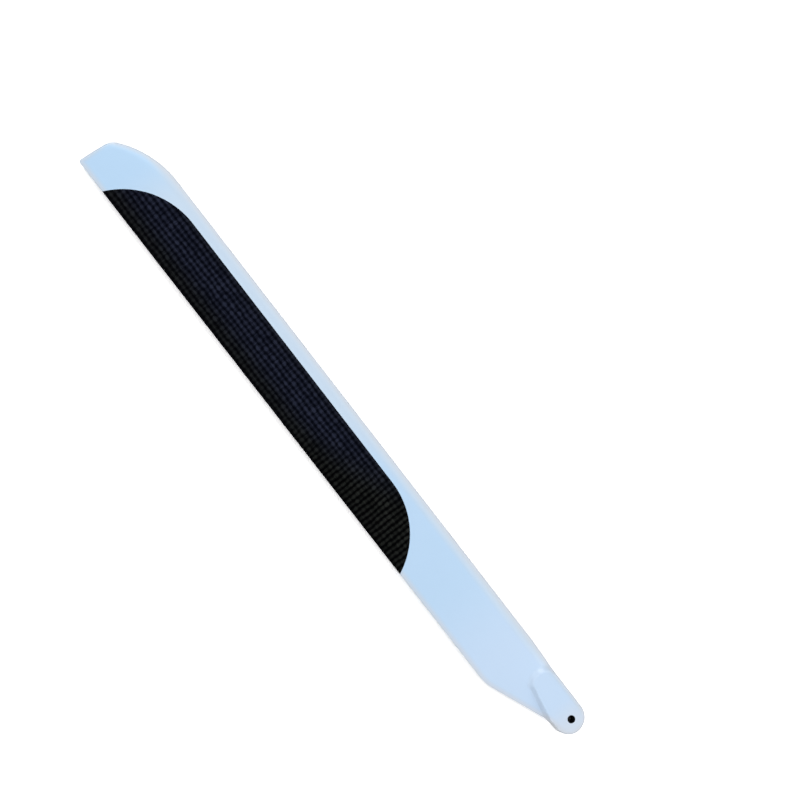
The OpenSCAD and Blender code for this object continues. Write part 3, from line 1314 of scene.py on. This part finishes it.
@dataclass
class RotorBlade:
    """The whole moulding: root, plain span and tip in one skin, with its window, its hole and its finishes."""

    name: str = "blade_skin"
    airfoil: Airfoil = field(default_factory=Airfoil)
    strips: Strips = field(default_factory=Strips)
    window: CarbonWindow = field(default_factory=CarbonWindow)
    hole: BoltHole = field(default_factory=BoltHole)
    layout: BakeLayout = field(default_factory=BakeLayout)
    paint: GlossPaint = field(default_factory=GlossPaint)
    carbon: CarbonWeave = field(default_factory=CarbonWeave)
    bore: DrilledLaminate = field(default_factory=DrilledLaminate)
    plain_steps: int = 200
    wall_steps: int = 4
    edge_bulge: float = 0.12
    bulge_limit: float = 0.6
    crease_degrees: float = 38.0
    map_lengths: tuple[str, str] = ("map_u", "map_v")
    first_length: float = 1.0
    root: RootFairing = field(init=False)
    tip: SweptTip = field(init=False)

    def __post_init__(self) -> None:
        """Makes the root and the tip from the shared section."""
        self.root = RootFairing(self.airfoil, self.strips)
        self.tip = SweptTip(self.airfoil, self.strips)

    def halves(self) -> np.ndarray:
        """Upper halves of all the sections, from the root's end out to the tip.

        Returns:
            Points of each section, from the leading edge aft.
        """
        plain = []
        for k in range(1, self.plain_steps + 1):
            x = mix(self.root.end_x, self.tip.sweep_x, k / self.plain_steps)
            front = np.array([x, self.airfoil.leading_y])
            plain.append(self.tip.section(front, np.array([x, self.airfoil.trailing_y])))
        return np.array([*self.root.sections(), *plain, *self.tip.sections()])

    def rings(self, half: np.ndarray) -> np.ndarray:
        """Closes the sections round the trailing edge and the underside.

        Args:
            half: Upper halves of the sections.

        Returns:
            Points of each closed section: upper side aft, trailing edge down, lower side forward.
        """
        upper = half.copy()
        edge_height = upper[:, -1, 2]
        bulge = np.where(edge_height < self.bulge_limit, np.minimum(self.edge_bulge, edge_height / 2), 0.0)
        upper[:, -1, 1] -= bulge
        walls = []
        for t in np.linspace(1, -1, self.wall_steps + 1)[1:-1]:
            wall = upper[:, -1].copy()
            wall[:, 1] += bulge * (1 - t**2)
            wall[:, 2] *= t
            walls.append(wall)
        lower = upper[:, :0:-1] * np.array([1, 1, -1])
        return np.concatenate([upper, np.stack(walls, axis=1), lower], axis=1)

    def lengths(self, rings: np.ndarray) -> tuple[np.ndarray, np.ndarray]:
        """Measures the skin for the map.

        Args:
            rings: Points of each closed section.

        Returns:
            Length along the span of each section, and length round the section of each of its points.
        """
        last = self.strips.count
        ends = rings[:, [0, last]]
        steps = np.linalg.norm(np.diff(ends, axis=0), axis=2).mean(axis=1)
        along = self.first_length + np.concatenate([[0.0], np.cumsum(steps)])
        half = rings[:, : last + self.wall_steps // 2 + 1]
        pieces = np.linalg.norm(np.diff(half, axis=1), axis=2)
        upper = np.concatenate([np.zeros((len(rings), 1)), np.cumsum(pieces, axis=1)], axis=1)
        return along, np.concatenate([upper, upper[:, -2:0:-1]], axis=1)

    def hole_block(self, half: np.ndarray) -> tuple[range, range]:
        """Finds the patches round the bolt axis that give way to the hole.

        Args:
            half: Upper halves of the sections.

        Returns:
            Numbers of the sections and of the strips of the block.
        """
        reach = self.hole.block_half
        middle = int(np.argmin(np.abs(half[:, 0, 0])))
        sections = np.flatnonzero(np.abs(half[:, 0, 0]) <= reach)
        strips = np.flatnonzero(np.abs(half[middle, :, 1]) <= reach)
        return range(sections[0], sections[-1]), range(strips[0], strips[-1])

    def build(self) -> bpy.types.Object:
        """Makes the skin's mesh.

        Returns:
            The blade's object, in metres and in the frame of the solid.
        """
        half = self.halves()
        rings = self.rings(half)
        along, around = self.lengths(rings)
        count = rings.shape[1]
        bm = bmesh.new()
        layers = [bm.verts.layers.float.new(name) for name in self.map_lengths]
        grid = []
        for k, ring in enumerate(rings):
            row = [bm.verts.new(p) for p in ring]
            for j, v in enumerate(row):
                v[layers[0]], v[layers[1]] = along[k], around[k, j]
            grid.append(row)
        apex = bm.verts.new((-self.root.root_end, 0, 0))
        apex[layers[1]] = float(around[0].max()) / 2
        block = self.hole_block(half)
        self._patches(bm, grid, apex, block)
        self.hole.drill(bm, self._openings(grid, block), layers)
        cap = self._tip_cap(bm, grid[-1])
        outline = self.window.cut(bm, layers)
        for face in bm.faces:
            if face.material_index != Zone.BORE:
                middle = face.calc_center_median()
                face.material_index = Zone.CARBON if self._in_window(middle) else Zone.PAINT
        bmesh.ops.recalc_face_normals(bm, faces=bm.faces)
        self._map_faces(bm, layers, float(along[len(along) // 2]), cap)
        self._carry_fields(bm, rings)
        for edge in bm.edges:
            edge.smooth = edge.calc_face_angle(0.0) < math.radians(self.crease_degrees)
        for face in bm.faces:
            face.smooth = True
        for name in self.map_lengths:
            bm.verts.layers.float.remove(bm.verts.layers.float[name])
        bmesh.ops.scale(bm, vec=(MM,) * 3, verts=bm.verts)
        mesh = bpy.data.meshes.new(self.name)
        bm.to_mesh(mesh)
        bm.free()
        piece = bpy.data.objects.new(self.name, mesh)
        bpy.context.scene.collection.objects.link(piece)
        LOG.info("%s: %d sections of %d points, window outline of %d points", self.name, len(rings), count, outline)
        return piece

    def _in_window(self, p: Vector) -> bool:
        """Tells whether a point of the skin lies in the carbon window."""
        return self.root.end_x < p.x < self.tip.blade_length and self.window.distance(p.x, p.y) < 0

    def _patches(
        self,
        bm: bmesh.types.BMesh,
        grid: list[list[bmesh.types.BMVert]],
        apex: bmesh.types.BMVert,
        block: tuple[range, range],
    ) -> None:
        """Fills the skin between the sections, but for the block that the hole takes on both sides.

        Args:
            bm: Mesh of the skin.
            grid: Points of each section.
            apex: Point at the middle of the root's round end.
            block: Numbers of the sections and of the strips that the hole takes.
        """
        count = len(grid[0])
        taken = {*block[1], *(count - 1 - i for i in block[1])}
        for j in range(count):
            bm.faces.new((apex, grid[0][j], grid[0][(j + 1) % count]))
        for k, (a, b) in enumerate(zip(grid, grid[1:])):
            for j in range(count):
                if k in block[0] and j in taken:
                    continue
                n = (j + 1) % count
                bm.faces.new((a[j], b[j], b[n], a[n]))

    @staticmethod
    def _openings(
        grid: list[list[bmesh.types.BMVert]], block: tuple[range, range]
    ) -> tuple[list[bmesh.types.BMVert], list[bmesh.types.BMVert]]:
        """Lists the points round the hole's block, clockwise from above.

        Args:
            grid: Points of each section.
            block: Numbers of the sections and of the strips that the hole takes.

        Returns:
            Points of the upper and of the lower face, matched.
        """
        ks, strips = block
        k0, k1, i0, i1 = ks[0], ks[-1] + 1, strips[0], strips[-1] + 1
        places = [(k0, i) for i in range(i0, i1)]
        places += [(k, i1) for k in range(k0, k1)]
        places += [(k1, i) for i in range(i1, i0, -1)]
        places += [(k, i0) for k in range(k1, k0, -1)]
        count = len(grid[0])
        return [grid[k][i] for k, i in places], [grid[k][count - i] for k, i in places]

    def _tip_cap(self, bm: bmesh.types.BMesh, ring: list[bmesh.types.BMVert]) -> set[bmesh.types.BMFace]:
        """Closes the thin outer end of the tip.

        Args:
            bm: Mesh of the skin.
            ring: Points of the outermost section.

        Returns:
            The faces made.
        """
        last, count = self.strips.count, len(ring)
        faces = {bm.faces.new((ring[0], ring[-1], ring[1]))}
        for i in range(1, last):
            faces.add(bm.faces.new((ring[i], ring[count - i], ring[count - i - 1], ring[i + 1])))
        faces.add(bm.faces.new((*ring[last : count - last + 1][::-1],)))
        return faces

    def _map_faces(
        self,
        bm: bmesh.types.BMesh,
        layers: Sequence[bmesh.types.BMLayerItem],
        parting: float,
        cap: set[bmesh.types.BMFace],
    ) -> None:
        """Lays the faces out in the rows of the bake map.

        Args:
            bm: Mesh of the skin.
            layers: Point values with the lengths along the span and round the section.
            parting: Length along the span at which the second rows start.
            cap: Faces of the tip's outer end.
        """
        uv = bm.loops.layers.uv.new(BAKE_MAP)
        for face in bm.faces:
            middle = face.calc_center_median()
            if face.material_index == Zone.BORE:
                own = math.atan2(middle.y, middle.x)
                for loop in face.loops:
                    p = loop.vert.co
                    turn = math.remainder(math.atan2(p.y, p.x) - own, 2 * math.pi)
                    place = (own + math.pi + turn) * self.hole.radius
                    loop[uv].uv = self.layout.small(self.layout.hole_place, place, p.z + self.root.pad_half)
            elif face in cap:
                for loop in face.loops:
                    p = loop.vert.co
                    across, up = p.y + self.airfoil.leading_offset, p.z + self.layout.cap_rise
                    loop[uv].uv = self.layout.small(self.layout.cap_place, across, up)
            else:
                outer = sum(v[layers[0]] for v in face.verts) / len(face.verts) > parting
                row = 2 * (middle.z < 0) + outer
                start = parting if outer else 0.0
                for loop in face.loops:
                    u, v = loop.vert[layers[0]], loop.vert[layers[1]]
                    loop[uv].uv = self.layout.skin(u, v, start, row)

    def _carry_fields(self, bm: bmesh.types.BMesh, rings: np.ndarray) -> None:
        """Gives each point its distance from the blade's outline and from the window's.

        Args:
            bm: Mesh of the skin.
            rings: Points of each closed section.
        """
        edge = bm.verts.layers.float.new(SkinField.EDGE.value)
        outside = bm.verts.layers.float.new(SkinField.WINDOW.value)
        front, rear = rings[:, 0], rings[:, self.strips.count + self.wall_steps // 2]
        for v in bm.verts:
            x, y = v.co.x, v.co.y
            to_front = y - float(np.interp(x, front[:, 0], front[:, 1]))
            to_rear = float(np.interp(x, rear[:, 0], rear[:, 1])) - y
            v[edge] = max(0.0, min(to_front, to_rear, self.tip.blade_length - x, x + self.root.root_end))
            v[outside] = self.window.distance(x, y) if x > self.root.end_x else self.window.root_arc_radius

    def dress(self, piece: bpy.types.Object, effects: Effects) -> None:
        """Gives the skin its finishes and ties it to the frame.

        Args:
            piece: The blade's object.
            effects: Node groups that the finishes share.
        """
        for finish in (self.paint, self.carbon, self.bore):
            piece.data.materials.append(finish.material(effects))
        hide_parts(CAD_NODE)
        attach(piece, CAD_BODY)


@dataclass(frozen=True)
class SoftLamp:
    """One soft lamp of the studio, aimed at the middle of the blade. Degrees, metres and watts."""

    name: str
    azimuth: float
    elevation: float
    distance: float
    size: float
    watts: float

    def place(self, target: Vector) -> bpy.types.Object:
        """Sets the lamp up.

        Args:
            target: Point to aim at.

        Returns:
            The lamp's object.
        """
        data = bpy.data.lights.new(self.name, "AREA")
        data.shape = "SQUARE"
        data.size = self.size
        data.energy = self.watts
        lamp = bpy.data.objects.new(self.name, data)
        a, e = math.radians(self.azimuth), math.radians(self.elevation)
        away = Vector((math.cos(a) * math.cos(e), math.sin(a) * math.cos(e), math.sin(e)))
        lamp.location = target + away * self.distance
        lamp.rotation_mode = "QUATERNION"
        lamp.rotation_quaternion = (-away).to_track_quat("-Z", "Y")
        bpy.context.scene.collection.objects.link(lamp)
        return lamp


@dataclass
class Studio:
    """White floor, a wide ring of soft light round a dim zenith, one low soft lamp, and the camera."""

    floor_z: float = -0.00402
    floor_half: float = 6.0
    floor_albedo: float = 0.4
    floor_shiny: float = 0.9
    floor_seen: float = 1.65
    ring_level: float = 1.51
    horizon_level: float = 0.12
    zenith_share: float = 0.02
    ring_rise: Pair = (0.25, 0.5)
    ring_fall: Pair = (0.85, 0.93)
    lean: float = 0.05
    lean_azimuth: float = -50.0
    lens_mm: float = 100.0
    near_clip: float = 0.01
    camera_place: tuple[float, float, float] = (0.2888, 0.1906, 1.1164)
    camera_turn: tuple[float, float, float, float] = (0.43469, -0.08398, -0.06809, -0.89407)
    lamps: tuple[SoftLamp, ...] = (
        SoftLamp("key", azimuth=-34, elevation=28, distance=1.8, size=0.62, watts=3.2),
    )

    def build(self) -> None:
        """Sets up everything round the blade."""
        self._floor()
        self._world()
        low, high = CAD_BOX
        for lamp in self.lamps:
            LOG.info("lamp %s", lamp.place((low + high) / 2).name)
        self._camera()
        bpy.context.scene.view_settings.view_transform = "Standard"

    def _floor(self) -> None:
        """Makes the plain white floor that the blade lies on."""
        h = self.floor_half
        mesh = bpy.data.meshes.new("floor")
        corners = [(-h, -h, self.floor_z), (h, -h, self.floor_z), (h, h, self.floor_z), (-h, h, self.floor_z)]
        mesh.from_pydata(corners, [], [(0, 1, 2, 3)])
        floor = bpy.data.objects.new("floor", mesh)
        bpy.context.scene.collection.objects.link(floor)
        material = bpy.data.materials.new("studio_floor")
        material.use_nodes = True
        material.node_tree.nodes.clear()
        graph = NodeGraph(material.node_tree)
        path = graph.add("ShaderNodeLightPath")
        unseen = graph.between(self._shiny(graph, path), self.floor_albedo, self.floor_shiny)
        shade = graph.add("ShaderNodeBsdfDiffuse")
        graph.feed(shade.inputs["Color"], graph.between(path.outputs["Is Camera Ray"], unseen, self.floor_seen))
        graph.feed(graph.add("ShaderNodeOutputMaterial").inputs["Surface"], shade.outputs[0])
        mesh.materials.append(material)
        LOG.info("floor at %.2f mm", self.floor_z / MM)

    @staticmethod
    def _shiny(graph: NodeGraph, path: bpy.types.Node) -> bpy.types.NodeSocket:
        """Gives 1 where a reflection or glass looks at a surface."""
        return graph.math("MAXIMUM", path.outputs["Is Glossy Ray"], path.outputs["Is Transmission Ray"])

    def _world(self) -> None:
        """Lights the blade from a ring of sky that leans to one side, with a dim zenith so that carbon stays black."""
        world = bpy.data.worlds.new("studio")
        bpy.context.scene.world = world
        world.use_nodes = True
        world.node_tree.nodes.clear()
        graph = NodeGraph(world.node_tree)
        direction = graph.add("ShaderNodeTexCoord").outputs["Generated"]
        *_, up = graph.axes(direction)
        path = graph.add("ShaderNodeLightPath")
        backdrop = graph.between(self._shiny(graph, path), self.horizon_level, 1.0)
        rise = graph.ramp(up, *self.ring_rise, backdrop, self.ring_level)
        fall = graph.ramp(up, *self.ring_fall, 1.0, self.zenith_share)
        turn = math.radians(self.lean_azimuth)
        side = (self.lean * math.cos(turn), self.lean * math.sin(turn), 0.0)
        leaning = graph.math("ADD", graph.vector("DOT_PRODUCT", direction, side).outputs["Value"], 1.0)
        level = graph.math("MULTIPLY", graph.math("MULTIPLY", rise, fall), leaning)
        sky = graph.add("ShaderNodeBackground")
        sky.inputs["Color"].default_value = (1.0, 1.0, 1.0, 1.0)
        graph.feed(sky.inputs["Strength"], graph.between(path.outputs["Is Camera Ray"], level, 1.0))
        graph.feed(graph.add("ShaderNodeOutputWorld").inputs["Surface"], sky.outputs[0])

    def _camera(self) -> None:
        """Stands the camera above the blade, tilted to its trailing edge and tip."""
        data = bpy.data.cameras.new("camera")
        data.lens = self.lens_mm
        data.clip_start = self.near_clip
        camera = bpy.data.objects.new("camera", data)
        camera.location = self.camera_place
        camera.rotation_mode = "QUATERNION"
        camera.rotation_quaternion = Quaternion(self.camera_turn)
        bpy.context.scene.collection.objects.link(camera)
        bpy.context.scene.camera = camera


def main() -> None:
    """Builds the blade and the studio round the frame."""
    logging.basicConfig(level=logging.INFO, format="%(name)s: %(message)s")
    LOG.info("frame nodes: %s", ", ".join(sorted(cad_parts)))
    blade = RotorBlade()
    piece = blade.build()
    blade.dress(piece, Effects())
    LOG.info("%s: %d faces", piece.name, len(piece.data.polygons))
    Studio().build()


if __name__ == "__main__":
    main()
